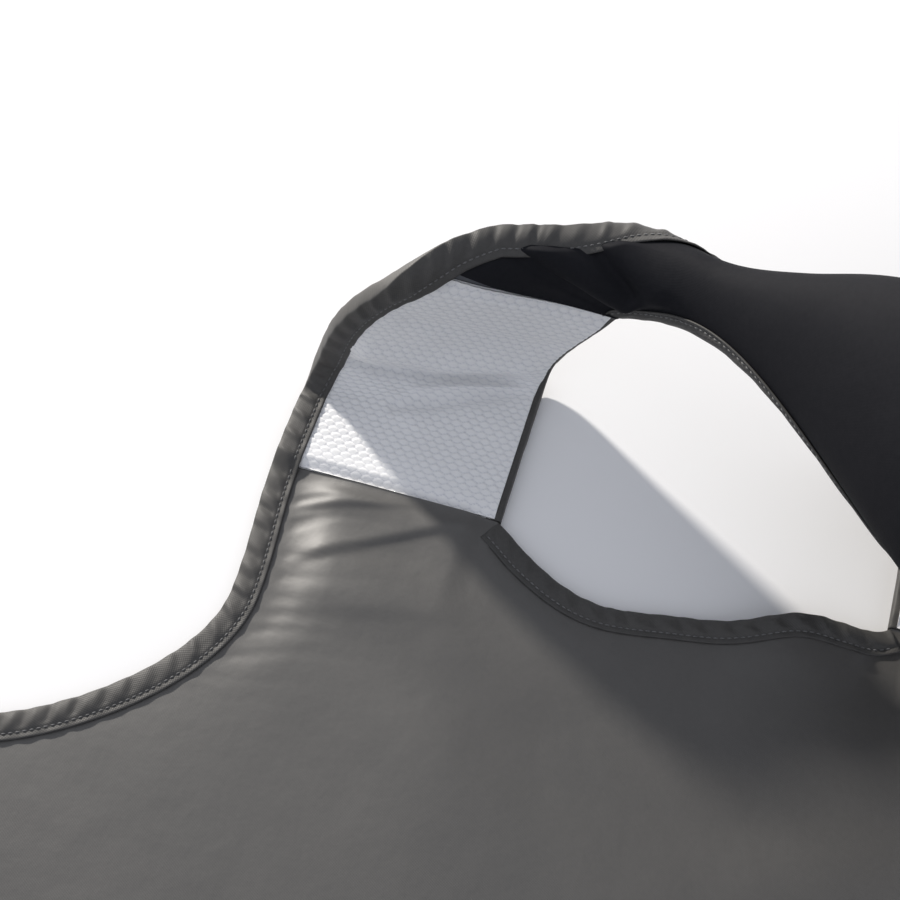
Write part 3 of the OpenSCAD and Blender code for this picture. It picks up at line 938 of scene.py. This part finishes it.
def level_edge(p):
    """Height of the layers along an outer edge: front, shoulder, back."""
    on_pad = ease((p[:, 1] + 8) / 16)
    if p[-1, 0] > 0:
        past = ease((p[:, 1] - PAD + 2) / 20)
    else:
        past = ease((p[:, 0] - left_outer(np.float64(1.0))[0] - 1) / 20) * ease((p[:, 1] - 120) / 20)
    return mix(mix(FRONT_TOP, PAD_TOP, on_pad), BACK_TOP + 0.6, past)


def level_neck(p):
    """Height of the layers along the neck opening, pressed down where the mesh is sewn in."""
    on_pad = PAD_TOP - 2.6 - 1.6 * (1 - ease(p[:, 1] / 9))
    return mix(on_pad, BACK_TOP + 0.2, ease((p[:, 1] - PAD + 16) / 16))


def edge_bindings():
    down = np.linspace(1, 0, 400)
    far = back_outer(np.linspace(1, 0.0008, 700))
    far = far[far @ np.array([math.cos(SKEW), math.sin(SKEW)]) < RIGHT_T - BIND_W]
    left_path = np.concatenate([far, left_outer(down), ARM[1:]])
    back_side = ring(back_inner, back_outer, np.array([1.0]), 500)[0][::-1]
    right_path = np.concatenate([back_side, right_outer(down), (ARM * MIRROR)[1:]])
    for side, path, sign, seed, back_node in (("left", left_path, 1, 11, "back_edge_binding"),
                                              ("right", right_path, -1, 23, "back_side_binding")):
        edge = tape(f"{side}_edge_tape", path, sign, level_edge, seed, 0.75)
        dress(edge, TAPE, None, "binding_tape", back_node, f"{side}_shoulder_arm_binding",
              f"{side}_armhole_binding")
        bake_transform(edge)


def neck_ring():
    path = np.concatenate([
        left_inner(np.linspace(0, 1, 300)),
        back_inner(np.linspace(0.002, NECK_STEPS / (NECK_STEPS + SEAM_STEPS), 400)),
        right_inner(np.linspace(0.999, 0, 300))])
    neck = tape("ring_neck_tape", path, 1, level_neck, 71, 0.3, 0.35, NECK_BIND, 2.0)
    dress(neck, TAPE, BACK, "binding_tape", "left_shoulder_neck_binding", "back_neck_binding",
          "right_shoulder_neck_binding")


front_panel()
front_bindings()
shoulder("left", left_inner, left_outer, 1)
shoulder("right", right_inner, right_outer, -1)
back_flap()
edge_bindings()
neck_ring()
for body, items in stitches.items():
    dress(stitch_object(f"{body}_stitching", items), THREAD, body, "binding_tape")

# Stage, in metres
FLOOR_HALF = 6.0
KEY_AZIMUTH = -34
KEY_ELEVATION = 20
KEY_DISTANCE = 3.0
KEY_SIZE = 0.2
KEY_POWER = 130
KEY_COLOUR = (1.0, 0.95, 0.88)
KEY_AIM = (0.0, 0.0, 0.05)
FILL_COLOUR = (0.88, 0.91, 1.0, 1)
FILL_STRENGTH = 0.62
CAMERA_ELEVATION = math.radians(60)
CAMERA_TARGET = np.array([-0.141, 0.037, 0.0])
CAMERA_DISTANCE = 0.8
FOCAL_PX = 1472
IMAGE_PX = 900
SENSOR = 36


def floor():
    mesh = bpy.data.meshes.new("floor")
    s = FLOOR_HALF
    mesh.from_pydata([(-s, -s, 0), (s, -s, 0), (s, s, 0), (-s, s, 0)], [], [(0, 1, 2, 3)])
    obj = bpy.data.objects.new("floor", mesh)
    bpy.context.scene.collection.objects.link(obj)
    mat, tree, bsdf = nodes_of("floor")
    set_inputs(bsdf, {"Base Color": (0.93, 0.93, 0.93, 1), "Roughness": 1.0, "Specular IOR Level": 0.0})
    mesh.materials.append(mat)


def world():
    w = bpy.data.worlds.new("studio")
    bpy.context.scene.world = w
    w.use_nodes = True
    tree = w.node_tree
    tree.nodes.clear()
    out = tree.nodes.new("ShaderNodeOutputWorld")
    fill = tree.nodes.new("ShaderNodeBackground")
    set_inputs(fill, {"Color": FILL_COLOUR, "Strength": FILL_STRENGTH})
    tree.links.new(fill.outputs[0], out.inputs["Surface"])


def key_lamp():
    """The main lamp, placed by its azimuth clockwise from straight behind in the camera's view."""
    data = bpy.data.lights.new("key", "AREA")
    data.shape = "DISK"
    data.size = KEY_SIZE
    data.energy = KEY_POWER
    data.color = KEY_COLOUR
    obj = bpy.data.objects.new("key", data)
    a, e = math.radians(KEY_AZIMUTH) - SKEW, math.radians(KEY_ELEVATION)
    d = np.array([math.sin(a) * math.cos(e), math.cos(a) * math.cos(e), math.sin(e)])
    obj.location = np.array(KEY_AIM) + d * KEY_DISTANCE
    obj.rotation_euler = Vector(-d).to_track_quat("-Z", "Y").to_euler()
    bpy.context.scene.collection.objects.link(obj)


def camera():
    """The photo's camera, turned by SKEW and looking down at the target."""
    data = bpy.data.cameras.new("camera")
    data.sensor_width = SENSOR
    data.sensor_fit = "HORIZONTAL"
    data.lens = FOCAL_PX / IMAGE_PX * SENSOR
    data.clip_start = 0.01
    obj = bpy.data.objects.new("camera", data)
    level = math.cos(CAMERA_ELEVATION)
    view = np.array([-math.sin(SKEW) * level, math.cos(SKEW) * level, -math.sin(CAMERA_ELEVATION)])
    right = Vector((math.cos(SKEW), math.sin(SKEW), 0))
    behind = Vector(-view)
    turn = Matrix((right, behind.cross(right), behind)).transposed().to_4x4()
    obj.matrix_world = Matrix.Translation(CAMERA_TARGET - view * CAMERA_DISTANCE) @ turn
    bpy.context.scene.collection.objects.link(obj)
    bpy.context.scene.camera = obj


floor()
world()
key_lamp()
camera()
bpy.context.scene.view_settings.view_transform = "Standard"
